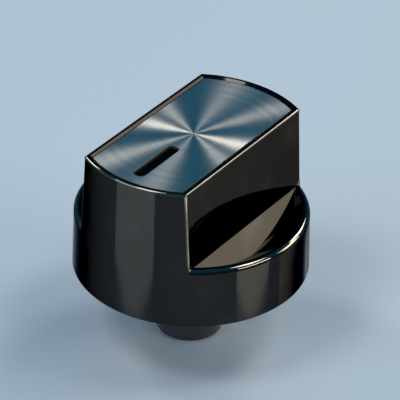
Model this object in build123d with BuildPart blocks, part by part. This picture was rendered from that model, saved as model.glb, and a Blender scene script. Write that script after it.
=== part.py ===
from build123d import *
from math import cos, pi, radians, sin, tan
import os

# A stove knob that stands on the end of its stem. Z is the axis of the valve shaft, the origin is
# the middle of the stem's lower end, and the pointer slot lies towards -Y.

os.makedirs("parts", exist_ok=True)

# Cast body, sizes in millimetres and slopes in degrees
base_diameter = 48.0       # across the lower edge of the skirt
body_height = 30.0         # from the lower edge of the skirt to the top of the lip
body_draft = 1.5           # lean of the outer wall
grip_width = 23.9          # across the two flats at the top
grip_draft = 3.4           # lean of each flat
rim_height = 12.9          # from the lower edge of the skirt to the crest of its rim
facet_slope = 47.0         # fall of the scoop's flat side, away from the grip
dish_slope = 35.0          # fall of the scoop's round side, in from the rim
rim_round = 1.1            # rounding of the rim
rim_runout = 8.0           # angle at which the rounding meets the outer wall
edge_round = 0.4           # rounding of the grip's own edges
foot_round = 0.3           # rounding in the corner between flat and facet
skirt_edge_round = 0.3     # rounding of the skirt's lower edge

# Seat of the metal plate
lip_width = 1.25           # land around the plate
lip_bevel = 0.4            # bevel on the inside of the lip
pocket_depth = 0.95        # from the top of the lip to the seat
pocket_corner = 0.5        # rounding of the seat's corners

# Metal plate and its pointer slot
plate_thickness = 0.6
plate_gap = 0.12           # between plate and lip
plate_bevel = 0.12         # broken edge of the plate
slot_width = 2.5
slot_length = 12.9
slot_corner = 0.95         # rounding of the slot's ends
slot_edge_gap = 2.7        # from the slot to the front edge of the plate

# Hollow underside
wall = 2.2                 # outer walls
roof = 2.2                 # metal under the plate and under the scoops
core_draft = 1.0           # lean of the skirt's inner wall
rib_thickness = 1.6
rib_setback = 1.6          # from the skirt's lower edge up to the ribs
boss_wall = 2.3            # around the stem
boss_setback = 1.0         # from the skirt's lower edge up to the boss

# Stem, a separate bush that takes the valve shaft
stem_diameter = 13.6
stem_reach = 16.0          # how far it stands out below the skirt
socket_depth = 15.0        # how far it sits inside the skirt
socket_gap = 0.1           # around the stem in its socket
shoulder_width = 1.4       # of the shoulder that stops the stem in its socket
stem_bevel = 0.6
key_width = 2.4
key_height = 0.9
shaft_bore = 8.1           # for an 8 mm shaft
lead_in_bore = 8.6         # round mouth of the bore, before it turns D-shaped
lead_in_depth = 6.0
lead_in_bevel = 0.5
bore_flat = 2.6            # from the axis to the flat of the D

# Spring leaf that presses on the shaft's flat
leaf_thickness = 0.4
leaf_width = 4.4
leaf_length = 14.0
leaf_bow = 1.0             # height of its curve
leaf_press = 0.2           # how far it reaches past the flat of the D
leaf_gap = 0.1             # around the leaf in its pocket
leaf_start = 11.0          # from the stem's lower end

skirt_z = stem_reach
rim_z = skirt_z + rim_height
top_z = skirt_z + body_height
reach = base_diameter


def wall_radius(z):
    """Radius of the leaning outer wall at height z."""
    return base_diameter / 2 - (z - skirt_z) * tan(radians(body_draft))


def flat_distance(z):
    """Distance from the middle to the leaning flat at height z."""
    return grip_width / 2 + (top_z - z) * tan(radians(grip_draft))


# The rim's rounding is an arc from the dish over the crest, with its top at rim_z, that runs out
# on the wall at a small angle
lean = radians(body_draft)
dip = radians(dish_slope)
runout = radians(rim_runout)
round_z = rim_z - rim_round
round_radius = wall_radius(round_z) - rim_round * cos(runout) / cos(lean)


def rim_point(angle):
    """Point of the rim's rounding, by its angle above the horizontal."""
    return (round_radius + rim_round * cos(angle), round_z + rim_round * sin(angle))


dish_top = rim_point(pi / 2 + dip)
shoulder = rim_point(lean + runout)
rim_middle = rim_point((pi / 2 + dip + lean + runout) / 2)

# The facet and the dish meet in a valley
foot_x = flat_distance(rim_z)
facet_fall = tan(radians(facet_slope))
crest_radius = dish_top[0] + (rim_z - dish_top[1]) / tan(dip)
valley_depth = (crest_radius - foot_x) / (1 / facet_fall + 1 / tan(dip))
valley_x = foot_x + valley_depth / facet_fall
valley_z = rim_z - valley_depth
facet_end = (crest_radius + round_radius) / 2

# Hollow of the underside: the skirt's hollow and the grip's, less the boss and the ribs, plus the
# stepped hole that takes the stem
skirt_core_top = valley_z - roof
grip_core_top = top_z - pocket_depth - roof
boss_radius = stem_diameter / 2 + boss_wall
socket_top = skirt_z + socket_depth
with BuildPart() as hollow:
    with BuildSketch(Plane.XZ):
        with BuildLine():
            Polyline(
                (-flat_distance(skirt_z) + wall, skirt_z),
                (flat_distance(skirt_z) - wall, skirt_z),
                (flat_distance(grip_core_top) - wall, grip_core_top),
                (-flat_distance(grip_core_top) + wall, grip_core_top),
                close=True,
            )
        make_face()
    extrude(amount=reach, both=True)
    with BuildSketch(Plane.XZ):
        with BuildLine():
            Polyline(
                (0, skirt_z),
                (wall_radius(skirt_z) - wall, skirt_z),
                (wall_radius(grip_core_top) - wall, grip_core_top),
                (0, grip_core_top),
                close=True,
            )
        make_face()
    revolve(axis=Axis.Z, mode=Mode.INTERSECT)
    with BuildSketch(Plane.XZ):
        with BuildLine():
            Polyline(
                (0, skirt_z),
                (wall_radius(skirt_z) - wall, skirt_z),
                (
                    wall_radius(skirt_z) - wall
                    - (skirt_core_top - skirt_z) * tan(radians(core_draft + body_draft)),
                    skirt_core_top,
                ),
                (0, skirt_core_top),
                close=True,
            )
        make_face()
    revolve(axis=Axis.Z)
    with BuildSketch(Plane.XY.offset(skirt_z + boss_setback)):
        Circle(boss_radius)
    extrude(amount=grip_core_top - skirt_z - boss_setback, mode=Mode.SUBTRACT)
    with BuildSketch(Plane.XY.offset(skirt_z + rib_setback)):
        Rectangle(2 * reach, rib_thickness)
        Rectangle(rib_thickness, 2 * reach)
    extrude(amount=grip_core_top - skirt_z - rib_setback, mode=Mode.SUBTRACT)
    with BuildSketch(Plane.XY.offset(skirt_z)):
        Circle(stem_diameter / 2 + socket_gap)
        Rectangle(
            stem_diameter + 2 * (key_height + socket_gap),
            key_width + 2 * socket_gap,
        )
    extrude(amount=socket_depth)
    with BuildSketch(Plane.XY.offset(socket_top)):
        Circle(stem_diameter / 2 - shoulder_width)
    extrude(amount=grip_core_top - socket_top)

# Side of the foot that stays: the flat runs down to its foot and out into the facet
with BuildPart() as foot:
    with BuildSketch(Plane.XZ) as foot_profile:
        with BuildLine():
            Polyline(
                (0, skirt_z),
                (valley_x, skirt_z),
                (valley_x, valley_z),
                (foot_x, rim_z),
                (flat_distance(top_z), top_z),
                (0, top_z),
                close=True,
            )
        make_face()
        fillet(
            foot_profile.vertices().filter_by_position(Axis.Y, rim_z, rim_z),
            radius=foot_round,
        )
    extrude(amount=reach, both=True)
    with BuildSketch(Plane.XY.offset(skirt_z)):
        Circle(facet_end)
    extrude(amount=body_height, mode=Mode.INTERSECT)

# Air of one scoop: beside the flat and above the dish and the rim, less the foot
with BuildPart() as scoop:
    with BuildSketch(Plane.XZ):
        with BuildLine():
            Polyline(
                (flat_distance(skirt_z), skirt_z),
                (reach, skirt_z),
                (reach, top_z + wall),
                (flat_distance(top_z + wall), top_z + wall),
                close=True,
            )
        make_face()
    extrude(amount=reach, both=True)
    with BuildSketch(Plane.XZ):
        with BuildLine():
            ThreePointArc(dish_top, rim_middle, shoulder)
            Polyline(
                shoulder,
                (reach, shoulder[1]),
                (reach, top_z + reach),
                (0, top_z + reach),
                (0, valley_z),
                (valley_x, valley_z),
                dish_top,
            )
        make_face()
    revolve(axis=Axis.Z, mode=Mode.INTERSECT)
    add(foot.part, mode=Mode.SUBTRACT)

# Outline of the seat in the top, which the plate follows
with BuildSketch() as seat_shape:
    Circle(wall_radius(top_z) - lip_width)
    Rectangle(grip_width - 2 * lip_width, reach, mode=Mode.INTERSECT)
    fillet(seat_shape.vertices(), radius=pocket_corner)

# Cast body: a leaning drum, scooped on both sides, hollow below and recessed on top
seat_z = top_z - pocket_depth
with BuildPart() as knob_body:
    with BuildSketch(Plane.XZ) as drum_profile:
        with BuildLine():
            Polyline(
                (0, skirt_z),
                (wall_radius(skirt_z), skirt_z),
                (wall_radius(top_z), top_z),
                (0, top_z),
                close=True,
            )
        make_face()
        fillet(
            drum_profile.vertices().group_by(Axis.Y)[0].sort_by(Axis.X)[-1],
            radius=skirt_edge_round,
        )
    revolve(axis=Axis.Z)
    add(scoop.part, mode=Mode.SUBTRACT)
    mirror(scoop.part, about=Plane.YZ, mode=Mode.SUBTRACT)
    top_edges = knob_body.edges().group_by(Axis.Z)[-1]
    side_edges = (
        knob_body.edges()
        .filter_by(GeomType.ELLIPSE)
        .filter_by(lambda edge: edge.length > (top_z - rim_z) / 2)
    )
    fillet(top_edges + side_edges, radius=edge_round)
    add(hollow.part, mode=Mode.SUBTRACT)
    with BuildSketch(Plane.XY.offset(seat_z)):
        add(seat_shape.sketch)
    extrude(amount=pocket_depth, mode=Mode.SUBTRACT)
    lip_top = knob_body.faces().sort_by(Axis.Z)[-1]
    chamfer(lip_top.inner_wires()[0].edges(), length=lip_bevel)
knob_body.part.label = "knob_body"
export_step(knob_body.part, "parts/knob_body.step")

# Metal plate with the pointer slot
plate_front = plate_gap + lip_width - wall_radius(top_z)
with BuildPart() as face_plate:
    with BuildSketch(Plane.XY.offset(seat_z)):
        add(seat_shape.sketch)
        offset(amount=-plate_gap, mode=Mode.REPLACE)
        with Locations((0, plate_front + slot_edge_gap + slot_length / 2)):
            RectangleRounded(slot_width, slot_length, slot_corner, mode=Mode.SUBTRACT)
    extrude(amount=plate_thickness)
    chamfer(face_plate.edges().group_by(Axis.Z)[-1], length=plate_bevel)
face_plate.part.label = "face_plate"
export_step(face_plate.part, "parts/face_plate.step")

# Stem: a keyed bush with a round lead-in, a D-shaped bore and a pocket for the spring leaf
leaf_back = bore_flat - leaf_press + leaf_bow + leaf_thickness
mouth_radius = lead_in_bore / 2
with BuildPart() as stem:
    with BuildSketch(Plane.XZ):
        with BuildLine():
            Polyline(
                (0, lead_in_depth),
                (mouth_radius, lead_in_depth),
                (mouth_radius, lead_in_bevel),
                (mouth_radius + lead_in_bevel, 0),
                (stem_diameter / 2 - stem_bevel, 0),
                (stem_diameter / 2, stem_bevel),
                (stem_diameter / 2, socket_top),
                (0, socket_top),
                close=True,
            )
        make_face()
    revolve(axis=Axis.Z)
    with BuildSketch(Plane.XY.offset(skirt_z + boss_setback)):
        Rectangle(stem_diameter + 2 * key_height, key_width)
    extrude(amount=socket_depth - boss_setback)
    with BuildSketch(Plane.XY.offset(lead_in_depth)):
        Circle(shaft_bore / 2)
        with Locations((0, bore_flat)):
            Rectangle(
                shaft_bore,
                shaft_bore,
                align=(Align.CENTER, Align.MAX),
                mode=Mode.INTERSECT,
            )
    extrude(amount=socket_top - lead_in_depth, mode=Mode.SUBTRACT)
    with BuildSketch(Plane.XY.offset(leaf_start)):
        with Locations((0, leaf_back)):
            Rectangle(
                leaf_width + 2 * leaf_gap,
                leaf_back,
                align=(Align.CENTER, Align.MAX),
            )
    extrude(amount=leaf_length + 2 * leaf_gap, mode=Mode.SUBTRACT)
stem.part.label = "stem"
export_step(stem.part, "parts/stem.step")

# Spring leaf, bowed towards the shaft
leaf_low = leaf_start + leaf_gap
leaf_middle = leaf_low + leaf_length / 2
leaf_high = leaf_low + leaf_length
with BuildPart() as spring_leaf:
    with BuildSketch(Plane.YZ):
        with BuildLine():
            back = ThreePointArc(
                (leaf_back, leaf_low),
                (leaf_back - leaf_bow, leaf_middle),
                (leaf_back, leaf_high),
            )
            front = ThreePointArc(
                (leaf_back - leaf_thickness, leaf_high),
                (leaf_back - leaf_thickness - leaf_bow, leaf_middle),
                (leaf_back - leaf_thickness, leaf_low),
            )
            Line(back @ 1, front @ 0)
            Line(front @ 1, back @ 0)
        make_face()
    extrude(amount=leaf_width / 2, both=True)
spring_leaf.part.label = "spring_leaf"
export_step(spring_leaf.part, "parts/spring_leaf.step")
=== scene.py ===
# %% [markdown]
# # A stove knob
# This scene dresses a stove knob for its photograph. The real knob is a cast metal drum with a
# glossy black plate on it, scooped out on both sides so that a bar is left for the fingers. A thin
# plate of spun aluminium lies in the top of the bar, and a plastic stem below takes the shaft of
# the valve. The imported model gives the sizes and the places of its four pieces. Blender gives them
# fine curves, finishes and light, and doesn't move or resize anything.

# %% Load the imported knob
from math import atan2, cos, pi, radians, sin, sqrt, tan

import bmesh
import bpy
from mathutils import Matrix, Vector


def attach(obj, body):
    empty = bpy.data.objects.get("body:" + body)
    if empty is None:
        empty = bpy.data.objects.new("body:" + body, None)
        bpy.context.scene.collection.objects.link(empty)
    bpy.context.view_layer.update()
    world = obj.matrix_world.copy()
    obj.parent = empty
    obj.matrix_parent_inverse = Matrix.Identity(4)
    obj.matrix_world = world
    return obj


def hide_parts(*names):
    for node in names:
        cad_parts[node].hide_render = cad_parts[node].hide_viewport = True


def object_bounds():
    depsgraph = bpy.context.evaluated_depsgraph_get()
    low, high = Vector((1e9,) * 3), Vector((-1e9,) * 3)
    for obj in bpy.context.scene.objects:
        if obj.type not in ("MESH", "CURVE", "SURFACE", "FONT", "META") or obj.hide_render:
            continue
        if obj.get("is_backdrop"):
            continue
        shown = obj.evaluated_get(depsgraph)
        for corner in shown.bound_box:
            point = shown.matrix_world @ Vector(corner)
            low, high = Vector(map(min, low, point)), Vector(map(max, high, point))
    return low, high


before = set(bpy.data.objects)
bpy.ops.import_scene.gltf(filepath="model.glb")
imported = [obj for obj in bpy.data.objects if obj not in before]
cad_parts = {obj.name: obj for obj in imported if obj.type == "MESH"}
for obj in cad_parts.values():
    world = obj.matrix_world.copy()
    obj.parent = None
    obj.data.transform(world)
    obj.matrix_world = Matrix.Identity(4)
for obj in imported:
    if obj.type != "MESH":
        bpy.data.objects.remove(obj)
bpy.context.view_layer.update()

print("pieces:", sorted(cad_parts))

# %% [markdown]
# ## The sizes of the cast body
# The body is drawn in millimetres, because most of its edges are rounded by less than one, and
# short numbers are easier to read. Each finished piece is scaled to metres once. The values are
# those of the part itself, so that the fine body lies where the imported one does; only the seat's
# corners are a little tighter. The outer wall and the two flats lean, as a casting's walls must so
# that it leaves its mould.

# %% Sizes of the body, in millimetres
SKIRT_Z, TOP_Z = 16.0, 46.0
RIM_Z = 28.9
BASE_RADIUS = 24.0
GRIP_HALF = 11.95
WALL_LEAN = radians(1.5)
GRIP_LEAN = radians(3.4)
SKIRT_EDGE_ROUND = 0.3
FOOT_ROUND = 0.3
EDGE_ROUND = 0.4
LAND_WIDTH = 1.25
SEAT_CORNER = 0.3


def wall_radius(z):
    """Radius of the outer wall at a height."""
    return BASE_RADIUS - (z - SKIRT_Z) * tan(WALL_LEAN)


def flat_distance(z):
    """Distance of a flat from the middle at a height."""
    return GRIP_HALF + (TOP_Z - z) * tan(GRIP_LEAN)


print("drum radius at the top:", round(wall_radius(TOP_Z), 3))
print("half width of the grip at its foot:", round(flat_distance(RIM_Z), 3))

# %% [markdown]
# ## Helpers for carving
# A form that is scooped out of a turned block can be cut in the same order as it is described:
# turn the block, turn the cutters, and take them away with Booleans. Pushing single vertices about
# could give the same shape, but its edges would never be as true, and a mirror finish shows every
# fault. The exact solver is used, because the cutters meet the block at very small angles.

# %% Make, carve and cut
def tidy_mesh(bm):
    """Merge points that lie on each other and drop what has no length or area."""
    bmesh.ops.remove_doubles(bm, verts=bm.verts, dist=2e-4)
    bmesh.ops.dissolve_degenerate(bm, edges=bm.edges, dist=1e-5)
    bmesh.ops.recalc_face_normals(bm, faces=bm.faces)


def make_piece(name, bm):
    """Turn a finished bmesh into an object of the scene."""
    mesh = bpy.data.meshes.new(name)
    bm.to_mesh(mesh)
    bm.free()
    piece = bpy.data.objects.new(name, mesh)
    bpy.context.scene.collection.objects.link(piece)
    return piece


def carve(block, cutter):
    """Take a cutter away from a block and throw the cutter away."""
    cut = block.modifiers.new("cut", "BOOLEAN")
    cut.operation = "DIFFERENCE"
    cut.solver = "EXACT"
    cut.object = cutter
    seen = block.evaluated_get(bpy.context.evaluated_depsgraph_get())
    carved = bpy.data.meshes.new_from_object(seen)
    block.modifiers.clear()
    block.data = carved
    bpy.data.objects.remove(cutter)
    print(block.name, "after the cut:", len(carved.polygons), "faces")


def slice_off(bm, point, normal, keep_inside):
    """Cut a closed shape with a plane, throw one side away and close the cut."""
    cut = bmesh.ops.bisect_plane(
        bm,
        geom=bm.verts[:] + bm.edges[:] + bm.faces[:],
        dist=1e-6,
        plane_co=point,
        plane_no=normal,
        clear_outer=keep_inside,
        clear_inner=not keep_inside,
    )
    edges = [part for part in cut["geom_cut"] if isinstance(part, bmesh.types.BMEdge)]
    bmesh.ops.holes_fill(bm, edges=edges, sides=0)
    bmesh.ops.recalc_face_normals(bm, faces=bm.faces)


def open_piece(piece):
    """Take a piece's mesh into a bmesh, to work on it again."""
    bm = bmesh.new()
    bm.from_mesh(piece.data)
    return bm


print("helpers ready")

# %% [markdown]
# ## The drum
# The block is a short cone with 512 sides. At that count a side is a third of a millimetre wide,
# and the mirror image of a lamp runs round the wall without a kink. The lower edge is rounded by
# a bevel of several segments.

# %% Turn the drum
STEPS = 512
drum = bmesh.new()
bmesh.ops.create_cone(
    drum,
    cap_ends=True,
    segments=STEPS,
    radius1=wall_radius(SKIRT_Z),
    radius2=wall_radius(TOP_Z),
    depth=TOP_Z - SKIRT_Z,
    matrix=Matrix.Translation((0, 0, (SKIRT_Z + TOP_Z) / 2)),
)
lower_edges = [e for e in drum.edges if all(v.co.z < SKIRT_Z + 0.1 for v in e.verts)]
bmesh.ops.bevel(
    drum,
    geom=lower_edges,
    offset=SKIRT_EDGE_ROUND,
    offset_type="OFFSET",
    affect="EDGES",
    segments=5,
    profile=0.5,
    material=-1,
)
knob_shell = make_piece("knob_shell", drum)
print("drum:", len(knob_shell.data.polygons), "faces")

# %% [markdown]
# ## The scoops
# Each scoop has three surfaces. A round dish falls from the rim of the skirt towards the middle, a
# straight facet falls from the foot of the flat, and both meet in a lens-shaped valley. The rim
# between dish and wall is a soft arc. The cutter is the air of one scoop: its profile starts as one
# vertex, which a spin about the arc's centre draws into the rim, and a second spin about the
# knob's axis turns the whole profile into a solid.

# %% Draw the rim's arc and the profile of the dish
RIM_ROUND = 1.1
DISH_SLOPE, FACET_SLOPE = radians(35), radians(47)
RUNOUT = radians(8)
round_z = RIM_Z - RIM_ROUND
round_radius = wall_radius(round_z) - RIM_ROUND * cos(RUNOUT) / cos(WALL_LEAN)
arc_start, arc_end = pi / 2 + DISH_SLOPE, WALL_LEAN + RUNOUT
rim_top = Vector(
    (round_radius + RIM_ROUND * cos(arc_start), 0, round_z + RIM_ROUND * sin(arc_start))
)
foot_x = flat_distance(RIM_Z)
crest_radius = rim_top.x + (RIM_Z - rim_top.z) / tan(DISH_SLOPE)
valley_depth = (crest_radius - foot_x) / (1 / tan(FACET_SLOPE) + 1 / tan(DISH_SLOPE))

air = bmesh.new()
first = air.verts.new(rim_top)
arc = bmesh.ops.spin(
    air,
    geom=[first],
    cent=(round_radius, 0, round_z),
    axis=(0, 1, 0),
    angle=arc_start - arc_end,
    steps=18,
)
last = next(part for part in arc["geom_last"] if isinstance(part, bmesh.types.BMVert))
print("the arc runs from", [round(v, 3) for v in rim_top])
print("to", [round(v, 3) for v in last.co])

# %% Close the profile and turn it
CLEAR_RADIUS, CLEAR_TOP = 30, 52
below = valley_depth + 1.0
inner_radius = crest_radius - below / tan(DISH_SLOPE)
corners = [
    last,
    air.verts.new((CLEAR_RADIUS, 0, last.co.z)),
    air.verts.new((CLEAR_RADIUS, 0, CLEAR_TOP)),
    air.verts.new((0, 0, CLEAR_TOP)),
    air.verts.new((0, 0, RIM_Z - below)),
    air.verts.new((inner_radius, 0, RIM_Z - below)),
    first,
]
for start, end in zip(corners, corners[1:]):
    air.edges.new((start, end))
bmesh.ops.spin(
    air,
    geom=air.verts[:] + air.edges[:],
    cent=(0, 0, 0),
    axis=(0, 0, 1),
    angle=2 * pi,
    steps=STEPS,
    use_merge=True,
)
bmesh.ops.remove_doubles(air, verts=air.verts, dist=1e-5)
bmesh.ops.recalc_face_normals(air, faces=air.faces)
print("air above the dish:", len(air.faces), "faces")

# %% [markdown]
# ## The flats and the facets
# A leaning plane cuts the air away from the grip. What is left still fills the place of the
# facet, so a foot is carved out of it: a cylinder, less a wedge with the slopes of flat and facet.
# The corner between them is rounded on the wedge, where it is one clean outer edge and easy to
# bevel. It stands a hair nearer the middle than the flat does, so that no two cut faces lie in one
# plane. On the real knob the light draws a thin bright line along this corner.

# %% Slice the air beside the flat
flat_normal = (cos(GRIP_LEAN), 0, sin(GRIP_LEAN))
slice_off(air, (GRIP_HALF, 0, TOP_Z), flat_normal, keep_inside=False)
scoop = make_piece("scoop", air)
print("air beside the flat:", len(scoop.data.polygons), "faces")

# %% Shape the wedge
WEDGE_RUN, WEDGE_TOP, WEDGE_LENGTH = 20, 60, 60
HAIR = 0.001
wedge = bmesh.new()
outline = [
    (foot_x, RIM_Z),
    (foot_x + WEDGE_RUN, RIM_Z - WEDGE_RUN * tan(FACET_SLOPE)),
    (foot_x + WEDGE_RUN, WEDGE_TOP),
    (flat_distance(WEDGE_TOP), WEDGE_TOP),
]
side = wedge.faces.new(
    [wedge.verts.new((x - HAIR, -WEDGE_LENGTH / 2, z)) for x, z in outline]
)
pushed = bmesh.ops.extrude_face_region(wedge, geom=[side])["geom"]
bmesh.ops.translate(
    wedge,
    vec=(0, WEDGE_LENGTH, 0),
    verts=[part for part in pushed if isinstance(part, bmesh.types.BMVert)],
)
bmesh.ops.recalc_face_normals(wedge, faces=wedge.faces)
corner = [e for e in wedge.edges if all(abs(v.co.z - RIM_Z) < 0.01 for v in e.verts)]
bmesh.ops.bevel(
    wedge,
    geom=corner,
    offset=FOOT_ROUND * tan((pi / 2 - FACET_SLOPE - GRIP_LEAN) / 2),
    offset_type="OFFSET",
    affect="EDGES",
    segments=4,
    profile=0.5,
    material=-1,
)
print("wedge:", len(wedge.faces), "faces")

# %% Carve the foot, then the air, then both scoops
foot_radius = (crest_radius + round_radius) / 2
foot = bmesh.new()
bmesh.ops.create_cone(
    foot,
    cap_ends=True,
    segments=STEPS,
    radius1=foot_radius,
    radius2=foot_radius,
    depth=14,
    matrix=Matrix.Translation((0, 0, RIM_Z - 1)),
)
foot_piece = make_piece("foot", foot)
carve(foot_piece, make_piece("wedge", wedge))
carve(scoop, foot_piece)
both = open_piece(scoop)
bmesh.ops.mirror(
    both,
    geom=both.verts[:] + both.edges[:] + both.faces[:],
    axis="X",
    merge_dist=-1,
)
bmesh.ops.recalc_face_normals(both, faces=both.faces)
both.to_mesh(scoop.data)
both.free()
carve(knob_shell, scoop)

# %% [markdown]
# ## The seat of the plate
# The plate lies in a shallow pocket with a narrow land around it. The pocket's cutter is a disc
# with two straight sides and four small rounded corners.

# %% Cut the seat
SEAT_Z, SEAT_CUT = 45.05, 3
seat = bmesh.new()
bmesh.ops.create_cone(
    seat,
    cap_ends=True,
    segments=STEPS,
    radius1=wall_radius(TOP_Z) - LAND_WIDTH,
    radius2=wall_radius(TOP_Z) - LAND_WIDTH,
    depth=SEAT_CUT,
    matrix=Matrix.Translation((0, 0, SEAT_Z + SEAT_CUT / 2)),
)
for side in (1, -1):
    slice_off(seat, (side * (GRIP_HALF - LAND_WIDTH), 0, SEAT_Z), (side, 0, 0), keep_inside=True)
seat_corners = [
    e
    for e in seat.edges
    if abs(e.verts[0].co.z - e.verts[1].co.z) > 1 and e.calc_face_angle() > 0.5
]
bmesh.ops.bevel(
    seat,
    geom=seat_corners,
    offset=SEAT_CORNER,
    offset_type="OFFSET",
    affect="EDGES",
    segments=6,
    profile=0.5,
    material=-1,
)
tidy_mesh(seat)
carve(knob_shell, make_piece("seat", seat))

# %% [markdown]
# ## The hollow underside
# Below, the casting is hollow, with a boss and four ribs round the stem. These faces are plain and
# out of the light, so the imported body's own are fine enough. A copy of it is merged, the faces that
# can be reached from the roof of the hollow without crossing the lower edge are kept, and the open
# end is carried down and closed. That makes one more cutter.

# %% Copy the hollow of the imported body
inside = bmesh.new()
inside.from_mesh(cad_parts["knob_body"].data)
bmesh.ops.scale(inside, vec=(1000, 1000, 1000), verts=inside.verts)
bmesh.ops.remove_doubles(inside, verts=inside.verts, dist=1e-4)
roof_spot = Vector((5, 13, 42.85))
reached = {min(inside.faces, key=lambda face: (face.calc_center_median() - roof_spot).length)}
edge_of_search = list(reached)
while edge_of_search:
    face = edge_of_search.pop()
    for edge in face.edges:
        for neighbour in edge.link_faces:
            flat_ring = all(v.co.z < SKIRT_Z + 0.01 for v in neighbour.verts)
            if neighbour not in reached and not flat_ring:
                reached.add(neighbour)
                edge_of_search.append(neighbour)
print("faces of the hollow:", len(reached), "of", len(inside.faces))

# %% Close it and carve it out
bmesh.ops.delete(inside, geom=[f for f in inside.faces if f not in reached], context="FACES")
mouth = [e for e in inside.edges if e.is_boundary]
lowered = bmesh.ops.extrude_edge_only(inside, edges=mouth)["geom"]
bmesh.ops.translate(
    inside,
    vec=(0, 0, -2),
    verts=[part for part in lowered if isinstance(part, bmesh.types.BMVert)],
)
bmesh.ops.holes_fill(inside, edges=[e for e in inside.edges if e.is_boundary], sides=0)
bmesh.ops.recalc_face_normals(inside, faces=inside.faces)
for face in inside.faces:
    face.material_index = 1
print("mouth edges:", len(mouth), "still open:", sum(e.is_boundary for e in inside.edges))
hollow = make_piece("hollow", inside)
for block in (knob_shell, hollow):
    for name in ("black_chrome", "plated_casting"):
        block.data.materials.append(bpy.data.materials.get(name) or bpy.data.materials.new(name))
carve(knob_shell, hollow)

# %% [markdown]
# ## The edges of the grip
# A plated edge is never sharp, because the polishing before the plating rounds it. The outline of
# the top and the four upright edges are rounded in one bevel, so that they run into each other at
# the corners. The inner edge of the land is broken by a flat bevel, which is bright in the
# photograph. The edges are picked by how much they turn and where they lie. They come last,
# because the Boolean solver wants the plain faces. Before the bevels a ring is cut just under the
# rim, so that the tall faces of the wall below it end clear of the small ones and are shaded
# evenly. The narrow strips beside each upright edge are joined, or the bevel would run across them.
# The bevels leave the land badly cut up, so it is taken out and covered anew between its two rims.
#
# The crowns of the edges carry a value that paints a pale highlight into the finish, partly
# standing for the black layer worn thin there. It is lower on the upright edges, which are dimmer in
# the photograph.

# %% Round the grip's edges
shell = open_piece(knob_shell)
tidy_mesh(shell)
wear_and_highlight = shell.verts.layers.float.new("wear_and_highlight")
RING_Z = RIM_Z - 1.3
TOP_REACH = 0.6
bmesh.ops.bisect_plane(
    shell,
    geom=shell.verts[:] + shell.edges[:] + shell.faces[:],
    dist=1e-6,
    plane_co=(0, 0, RING_Z),
    plane_no=(0, 0, 1),
)


def on_upright(vertex):
    """Does a vertex lie both on a flat and on the outer wall, above the rim?"""
    x, y, z = vertex.co
    on_flat = abs(abs(x) - flat_distance(z)) < 0.01
    return z > RIM_Z - 1 and on_flat and abs(sqrt(x * x + y * y) - wall_radius(z)) < 0.02


def on_outside(vertex):
    """Is a vertex of the top on the outer edge of the land?"""
    x, y, z = vertex.co
    radius = sqrt(x * x + y * y)
    return abs(x) > GRIP_HALF - TOP_REACH or radius > wall_radius(TOP_Z) - TOP_REACH


turning = [e for e in shell.edges if e.is_manifold and e.calc_face_angle() > 0.5]
top_edges = [e for e in turning if all(v.co.z > TOP_Z - 0.01 for v in e.verts)]
outline = [e for e in top_edges if all(on_outside(v) for v in e.verts)]
land_edge = [e for e in top_edges if not any(on_outside(v) for v in e.verts)]
upright = [e for e in turning if all(on_upright(v) for v in e.verts) and e not in top_edges]
corner_points = {v for e in upright for v in e.verts}
strips = [
    e
    for e in shell.edges
    if e.is_manifold
    and e.calc_face_angle() < 0.1
    and all(abs(v.co.x) > GRIP_HALF - TOP_REACH and v.co.z > RING_Z - 0.01 for v in e.verts)
    and (abs(e.verts[0].co.z - e.verts[1].co.z) > 5 or not corner_points.isdisjoint(e.verts))
]
bmesh.ops.dissolve_edges(shell, edges=strips, use_verts=False)
print("strips beside the upright edges joined:", len(strips))
for edges, steps in ((land_edge, 1), (outline + upright, 6)):
    rounded = bmesh.ops.bevel(
        shell,
        geom=edges,
        offset=EDGE_ROUND,
        offset_type="OFFSET",
        affect="EDGES",
        segments=steps,
        profile=0.5,
        material=-1,
    )
    fresh = set(rounded["faces"])
    # Painted highlight, partly wear: the points on the crown of each bevel get the value that makes
    # the base colour pale.
    for vertex in rounded["verts"]:
        vertex[wear_and_highlight] = float(fresh.issuperset(vertex.link_faces))
tidy_mesh(shell)
print("edges:", len(outline), "outside,", len(land_edge), "inside and", len(upright), "upright")

# %% Cover the land again
def on_land(face):
    """Does a face lie flat in the top?"""
    return all(v.co.z > TOP_Z - 0.001 for v in face.verts)


land = {f for f in shell.faces if on_land(f)}
land_rims = [e for e in shell.edges if sum(f in land for f in e.link_faces) == 1]
bmesh.ops.delete(shell, geom=[f for f in shell.faces if f in land], context="FACES")
bmesh.ops.bridge_loops(shell, edges=land_rims)
print("faces of the land:", sum(on_land(f) for f in shell.faces))

# %% Paint highlights on the crowns of the rim and of the foot, and dim those on the upright edges
RIM_CROWN = radians(55)
UPRIGHT_SHARE = 0.3
# Painted highlight: the rim's arc is made pale around the angle RIM_CROWN, and the foot of the flat
# along its corner.
for vertex in shell.verts:
    x, y, z = vertex.co
    out, up = sqrt(x * x + y * y) - round_radius, z - round_z
    if abs(sqrt(out * out + up * up) - RIM_ROUND) < 0.01:
        vertex[wear_and_highlight] = max(0.0, cos(2.5 * (atan2(up, out) - RIM_CROWN))) ** 2
    elif sqrt((abs(x) - foot_x) ** 2 + (z - RIM_Z) ** 2) < 0.09:
        vertex[wear_and_highlight] = 1.0
    elif z < TOP_Z - 0.5:
        vertex[wear_and_highlight] *= UPRIGHT_SHARE
print("marked points:", sum(vertex[wear_and_highlight] > 0 for vertex in shell.verts))

# %% Draw the shell in by a hair
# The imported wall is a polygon. This rounder one would stand 0.002 mm out of its box.
bmesh.ops.scale(shell, vec=(0.9999, 0.9999, 1), verts=shell.verts)
shell.to_mesh(knob_shell.data)
shell.free()

# %% [markdown]
# ## Shading of the carved shell
# The shell is smooth everywhere except where two surfaces meet in a real crease. Weighted normals
# let a large flat keep its own direction right up to a rounded edge, so the flats stay true mirrors
# and only the roundings bend the light.

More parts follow.
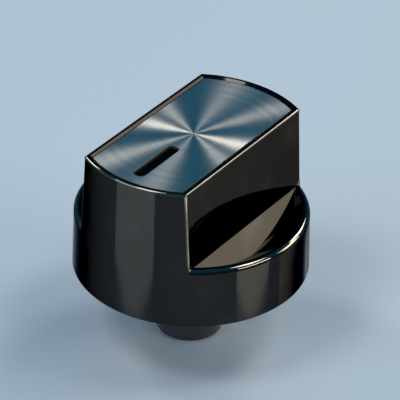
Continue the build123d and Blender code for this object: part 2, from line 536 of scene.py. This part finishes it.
# %% Finish the shell
def finish_piece(piece, crease):
    """Scale a piece to metres, merge it, and shade it smooth between its creases."""
    bm = open_piece(piece)
    bmesh.ops.scale(bm, vec=(0.001, 0.001, 0.001), verts=bm.verts)
    bmesh.ops.remove_doubles(bm, verts=bm.verts, dist=1e-7)
    bmesh.ops.recalc_face_normals(bm, faces=bm.faces)
    open_edges = sum(not e.is_manifold for e in bm.edges)
    for face in bm.faces:
        face.smooth = True
    for edge in bm.edges:
        edge.smooth = edge.is_manifold and edge.calc_face_angle() < radians(crease)
    bm.to_mesh(piece.data)
    bm.free()
    weights = piece.modifiers.new("true flats", "WEIGHTED_NORMAL")
    weights.mode = "FACE_AREA"
    weights.keep_sharp = True
    print(piece.name, "faces:", len(piece.data.polygons), "open edges:", open_edges)


finish_piece(knob_shell, 26)
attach(knob_shell, "root")
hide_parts("knob_body")

# %% [markdown]
# ## The stem, its leaf and the plate
# The stem, the spring leaf and the plate are right as they are packed, but their meshes are loose
# triangles that show as flat strips on a round wall. A merged copy of each is shaded smooth and
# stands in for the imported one. The plate keeps no modifier, and its mesh is given a square texture
# space about the axis, because its finish takes the direction of its rings from that space. In the
# plate's own oblong box the rings would be ellipses, and the fans of light would lie askew.

# %% Merge and smooth the small pieces
def smooth_copy(node, name, crease):
    """A merged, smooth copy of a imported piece, which it replaces."""
    bm = bmesh.new()
    bm.from_mesh(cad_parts[node].data)
    bmesh.ops.scale(bm, vec=(1000, 1000, 1000), verts=bm.verts)
    bmesh.ops.remove_doubles(bm, verts=bm.verts, dist=1e-4)
    piece = make_piece(name, bm)
    finish_piece(piece, crease)
    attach(piece, "root")
    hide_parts(node)
    return piece


stem_bush = smooth_copy("stem", "stem_bush", 30)
leaf_spring = smooth_copy("spring_leaf", "leaf_spring", 30)
spun_plate = smooth_copy("face_plate", "spun_plate", 4)
spun_plate.modifiers.clear()
spun_plate.data.use_auto_texspace = False
spun_plate.data.texspace_location = (0, 0, 0.0455)
spun_plate.data.texspace_size = (0.022, 0.022, 0.022)

# %% [markdown]
# ## Writing shaders as sums
# A finish is easier to read as arithmetic than as a list of nodes. The class below wraps an output
# socket, so that adding or multiplying two of them adds the Math node that does it. One method
# makes every other node from its type, its settings and its inputs.

# %% A socket that can be added and multiplied
class Wire:
    """An output socket of a shader, with the arithmetic that the finishes use."""

    def __init__(self, finish, socket):
        self.finish, self.socket = finish, socket

    def math(self, operation, *values):
        return self.finish.node("ShaderNodeMath", {"operation": operation}, dict(enumerate(values)))

    def __add__(self, other):
        return self.math("ADD", self, other)

    def __radd__(self, other):
        return self.math("ADD", other, self)

    def __mul__(self, other):
        return self.math("MULTIPLY", self, other)

    def __rmul__(self, other):
        return self.math("MULTIPLY", other, self)

    def __pow__(self, other):
        return self.math("POWER", self, other)


print("wires ready")


# %% A finish and its nodes
class Finish:
    """A material whose nodes are made one call at a time."""

    def __init__(self, name):
        self.material = bpy.data.materials.get(name) or bpy.data.materials.new(name)
        self.material.use_nodes = True
        self.tree = self.material.node_tree
        self.tree.nodes.clear()
        self.place = self.node("ShaderNodeTexCoord", output="Object")

    def node(self, kind, settings=None, inputs=None, output=0):
        """Make a node, set it up, feed it, and give back one of its outputs."""
        made = self.tree.nodes.new(kind)
        for key, value in (settings or {}).items():
            setattr(made, key, value)
        for key, value in (inputs or {}).items():
            if isinstance(value, Wire):
                self.tree.links.new(value.socket, made.inputs[key])
            else:
                made.inputs[key].default_value = value
        return Wire(self, made.outputs[output])

    def noise(self, size, detail=3.0, stretch=(1, 1, 1)):
        """Noise whose patches are about size metres across, from 0 to 1."""
        spot = self.node("ShaderNodeMapping", None, {"Vector": self.place, "Scale": stretch})
        return self.node(
            "ShaderNodeTexNoise",
            None,
            {"Vector": spot, "Scale": 1 / size, "Detail": detail},
            "Fac",
        )

    def between(self, mask, low, high):
        """Soft step of a mask from 0 at low to 1 at high."""
        return self.node(
            "ShaderNodeMapRange",
            {"interpolation_type": "SMOOTHSTEP"},
            {"Value": mask, "From Min": low, "From Max": high},
        )

    def tint(self, mask, dark, light):
        """Colour between two, by a mask."""
        return self.node(
            "ShaderNodeMix",
            {"data_type": "RGBA"},
            {0: mask, 6: (*dark, 1), 7: (*light, 1)},
            2,
        )

    def bump(self, height, depth, strength=1.0):
        """Normal of a surface whose relief is depth metres deep."""
        return self.node(
            "ShaderNodeBump",
            None,
            {"Height": height, "Distance": depth, "Strength": strength},
        )

    def surface(self, inputs):
        """Principled surface with these inputs, as the material's output."""
        shader = self.node("ShaderNodeBsdfPrincipled", None, inputs)
        end = self.tree.nodes.new("ShaderNodeOutputMaterial")
        self.tree.links.new(shader.socket, end.inputs["Surface"])
        return self.material


print("finishes ready")

# %% [markdown]
# ## Black chrome
# Black chrome is a metal with almost no colour of its own: it sends back a few hundredths of the
# light that meets it head on, and more at a glance, though less than a white metal does. A metallic
# surface with a base colour near black and a grey specular tint does that. What makes it look real
# is what isn't even: a faint waviness from the polishing, a little haze where fingers touch it, and
# hairlines too thin to see one by one. On the crowns of the edges a pale colour is painted in: a
# painted highlight, and partly the pale metal showing where the layer is thin.

# %% Mix the black chrome
chrome = Finish("black_chrome")
haze = chrome.between(chrome.noise(0.011, 4.0), 0.48, 0.72)
hairlines = chrome.between(chrome.noise(0.0009, 6.0, (1, 1, 0.15)), 0.35, 0.75)
waviness = chrome.noise(0.0045, 1.0)
# The crown value paints a pale highlight into the base colour, partly as worn plating.
crown = chrome.node("ShaderNodeAttribute", {"attribute_name": "wear_and_highlight"}, output="Fac")
highlight_and_wear_mask = crown * (0.55 + 0.45 * haze)
plating = chrome.tint(haze, (0.032, 0.030, 0.028), (0.040, 0.038, 0.036))
black = chrome.node(
    "ShaderNodeMix",
    {"data_type": "RGBA"},
    {0: highlight_and_wear_mask, 6: plating, 7: (0.42, 0.40, 0.34, 1)},
    2,
)
chrome.surface(
    {
        "Base Color": black,
        "Metallic": 1.0,
        "Roughness": 0.03 + 0.045 * haze + 0.025 * hairlines,
        "Specular Tint": (0.32, 0.33, 0.35, 1),
        "Normal": chrome.bump(waviness + 0.02 * hairlines, 0.0000004),
    }
)
print("black chrome:", len(chrome.tree.nodes), "nodes")

# %% [markdown]
# ## The plated casting inside
# The hollow goes through the same bath but isn't polished first, so it keeps the fine orange skin
# of the mould and stays dull.

# %% Mix the inside of the casting
casting = Finish("plated_casting")
skin = casting.noise(0.0006, 5.0)
flow = casting.noise(0.006, 3.0)
casting.surface(
    {
        "Base Color": casting.tint(flow, (0.035, 0.035, 0.040), (0.085, 0.083, 0.080)),
        "Metallic": 0.7,
        "Roughness": 0.42 + 0.2 * flow,
        "Normal": casting.bump(skin + flow, 0.00006, 0.6),
    }
)
print("plated casting:", len(casting.tree.nodes), "nodes")

# %% [markdown]
# ## Spun aluminium
# The plate was polished while it turned, so its surface is a set of fine rings about the knob's
# axis. Light is spread across the rings and hardly along them. Each lamp is then seen as a pair
# of bright fans that meet in the middle. The shader's own anisotropy does this, and because the
# plate's texture space is a cube about the axis, its natural direction runs round the axis with no
# tangent node. Rings of noise in the roughness and the colour show the single passes of the tool.

# %% Mix the spun plate
spun = Finish("spun_aluminium")
axes = spun.node("ShaderNodeSeparateXYZ", None, {"Vector": spun.place})
across, along = axes, Wire(spun, axes.socket.node.outputs["Y"])
radius = (across * across + along * along) ** 0.5


def rings(pitch, detail):
    """Noise that changes only with the distance from the axis."""
    return spun.node(
        "ShaderNodeTexNoise",
        {"noise_dimensions": "1D"},
        {"W": radius, "Scale": 1 / pitch, "Detail": detail},
        "Fac",
    )


fine, broad = rings(0.00012, 4.0), rings(0.0012, 3.0)
touch = spun.between(spun.noise(0.006, 3.0), 0.5, 0.75)
spun.surface(
    {
        "Base Color": spun.tint(broad, (0.66, 0.65, 0.63), (0.80, 0.79, 0.77)),
        "Metallic": 1.0,
        "Roughness": 0.31 + 0.05 * broad + 0.03 * touch,
        "Anisotropic": 0.97,
        "Anisotropic Rotation": 0.25,
        "Normal": spun.bump(fine, 0.0000012),
    }
)
print("spun plate:", len(spun.tree.nodes), "nodes")

# %% [markdown]
# ## The plate's edges
# The plate and its slot are punched out of sheet. Their edges are painted dark as shade, so that the
# pointer reads as one dark line. Every face that doesn't look straight up gets this duller, dark
# finish.

# %% Mix the dark edge finish, which paints shade
edge_shade = Finish("painted_edge_shade")
torn = edge_shade.noise(0.0004, 4.0, (1, 1, 0.2))
edge_shade.surface(
    {
        "Base Color": edge_shade.tint(torn, (0.03, 0.03, 0.032), (0.10, 0.098, 0.092)),
        "Metallic": 0.6,
        "Roughness": 0.38 + 0.2 * torn,
        "Normal": edge_shade.bump(torn, 0.000006, 0.6),
    }
)
print("blackened edge:", len(edge_shade.tree.nodes), "nodes")

# %% [markdown]
# ## Moulded plastic and spring steel
# The stem is black nylon with the fine grain that a spark-eroded mould leaves. The leaf is steel
# strip, drawn lengthwise, with a little oil on it.

# %% Mix the plastic and the steel
nylon = Finish("moulded_nylon")
grain = nylon.noise(0.00022, 4.0)
cloud = nylon.noise(0.005, 3.0)
nylon.surface(
    {
        "Base Color": nylon.tint(cloud, (0.022, 0.023, 0.026), (0.045, 0.046, 0.050)),
        "Roughness": 0.42 + 0.14 * cloud,
        "Normal": nylon.bump(grain, 0.00002, 0.5),
    }
)
steel = Finish("spring_steel")
drawn = steel.noise(0.00015, 4.0, (1, 1, 0.04))
oil = steel.noise(0.002, 3.0)
steel.surface(
    {
        "Base Color": steel.tint(oil, (0.50, 0.50, 0.50), (0.64, 0.63, 0.61)),
        "Metallic": 1.0,
        "Roughness": 0.24 + 0.14 * drawn,
        "Normal": steel.bump(drawn, 0.000004, 0.6),
    }
)
print("nylon and steel mixed")

# %% Put the finishes on
for piece, finish in ((spun_plate, spun), (stem_bush, nylon), (leaf_spring, steel)):
    piece.data.materials.clear()
    piece.data.materials.append(finish.material)
    print(piece.name, "is", finish.material.name)
spun_plate.data.materials.append(edge_shade.material)
# The faces that don't look straight up get the painted edge shade.
for face in spun_plate.data.polygons:
    face.material_index = int(face.normal.z < 0.99)
print("edge faces of the plate:", sum(face.material_index for face in spun_plate.data.polygons))

# %% [markdown]
# ## The floor
# The knob stands on a pale sweep: a floor that curves up all round, far away, so that a low view
# has no horizon. A wire of floor and curve is spun about the knob. The board is slightly glossy,
# because the walls of the knob lean back and mirror nothing but the floor: what the floor mirrors
# is all that they can show.

# %% Spin the sweep
sweep = bmesh.new()
FLOOR_RADIUS, BEND_RADIUS = 1.6, 0.3
floor_edge = sweep.verts.new((FLOOR_RADIUS, 0, 0))
bmesh.ops.spin(
    sweep,
    geom=[floor_edge],
    cent=(FLOOR_RADIUS, 0, BEND_RADIUS),
    axis=(0, -1, 0),
    angle=pi / 2,
    steps=12,
)
middle = sweep.verts.new((0, 0, 0))
sweep.edges.new((middle, floor_edge))
bmesh.ops.spin(
    sweep,
    geom=sweep.verts[:] + sweep.edges[:],
    cent=(0, 0, 0),
    axis=(0, 0, 1),
    angle=2 * pi,
    steps=96,
    use_merge=True,
)
bmesh.ops.remove_doubles(sweep, verts=sweep.verts, dist=1e-6)
bmesh.ops.recalc_face_normals(sweep, faces=sweep.faces)
floor = make_piece("floor", sweep)
floor.data.shade_smooth()
board = Finish("pale_board")
board.surface({"Base Color": (0.62, 0.73, 0.86, 1), "Roughness": 0.06, "IOR": 2.0})
floor.data.materials.append(board.material)
floor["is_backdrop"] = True
print("sweep:", len(floor.data.polygons), "faces")

# %% [markdown]
# ## The lamps
# A glossy black thing shows its lamps more than its own colour. The facet lamp stands behind on the
# right, where the right facet mirrors it. The back lamp makes the brightest fan on the plate, and
# the left lamp and the two high ones make the others, each with its twin across the middle. The
# right and the front lamp are low, wide strips. The floor mirrors them, and the walls show that
# image as upright stripes. Each lamp is placed by the direction from which its light comes.

# %% Hang the lamps
def hang_lamp(name, turn, rise, width, height, glow, colour=(1, 1, 1), distance=0.9):
    """Area lamp that faces the knob; glow is the brightness of its face."""
    lamp = bpy.data.lights.new(name, "AREA")
    lamp.shape = "RECTANGLE"
    lamp.size, lamp.size_y = width, height
    lamp.energy = glow * pi * width * height
    lamp.color = colour
    hung = bpy.data.objects.new(name, lamp)
    towards = Vector(
        (
            cos(radians(rise)) * cos(radians(turn)),
            cos(radians(rise)) * sin(radians(turn)),
            sin(radians(rise)),
        )
    )
    hung.matrix_world = Matrix.Translation(
        Vector((0, 0, 0.03)) + distance * towards
    ) @ towards.to_track_quat("Z", "Y").to_matrix().to_4x4()
    bpy.context.scene.collection.objects.link(hung)
    print(name, "at", [round(v, 2) for v in hung.matrix_world.translation], "glow", glow)


WARM = (1.0, 0.94, 0.84)
hang_lamp("facet_lamp", 51, 26, 0.36, 0.30, 3.9, (1.0, 0.89, 0.70))
hang_lamp("back_lamp", 87, 36, 0.28, 0.20, 11.0, WARM)
hang_lamp("left_lamp", 180, 38, 0.22, 0.20, 11.0, WARM)
hang_lamp("right_lamp", 6, 25.5, 0.50, 0.13, 11.0, WARM)
hang_lamp("front_lamp", -112, 25.5, 0.60, 0.13, 7.0, (0.82, 0.94, 1.0))
hang_lamp("high_right", 36, 62, 0.34, 0.26, 6.5, WARM, distance=1.0)
hang_lamp("high_left", -114, 60, 0.30, 0.26, 8.0, WARM, distance=1.0)

# %% The world
world = bpy.data.worlds.new("studio")
world.use_nodes = True
world.node_tree.nodes["Background"].inputs["Color"].default_value = (0.01, 0.09, 0.16, 1)
world.node_tree.nodes["Background"].inputs["Strength"].default_value = 1.0
bpy.context.scene.world = world
bpy.context.scene.view_settings.view_transform = "Standard"
print("world ready")

# %% [markdown]
# ## The camera
# The camera stands where the photograph was taken: a long lens, about half a metre away, looking
# down on the front right. It is aimed slightly to the right of the knob's middle and slightly
# below it, which puts the knob where the photograph has it without any lens shift.

# %% Set up the camera
TURN, RISE, ROLL = radians(33.96), radians(32.56), radians(1.39)
ASIDE, DOWN = radians(0.162), radians(0.1686)
DISTANCE = 0.54139
camera_data = bpy.data.cameras.new("camera")
camera_data.lens = 244.39
camera_data.sensor_width = 36.0
camera_data.clip_start = 0.01
camera = bpy.data.objects.new("camera", camera_data)
middle = Vector((0, 0, 0.032))
back = Vector((sin(TURN) * cos(RISE), -cos(TURN) * cos(RISE), sin(RISE)))
camera.matrix_world = (
    Matrix.Translation(middle + DISTANCE * back)
    @ Matrix.Rotation(TURN, 4, "Z")
    @ Matrix.Rotation(pi / 2 - RISE, 4, "X")
    @ Matrix.Rotation(ROLL, 4, "Z")
    @ Matrix.Rotation(-ASIDE, 4, "Y")
    @ Matrix.Rotation(-DOWN, 4, "X")
)
bpy.context.scene.collection.objects.link(camera)
bpy.context.scene.camera = camera
print("camera at", [round(v, 4) for v in camera.matrix_world.translation])

# %% Print the dressed box and finish
dressed_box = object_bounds()
for corner in dressed_box:
    print("dressed box, a corner in millimetres:", [round(v * 1000, 2) for v in corner])
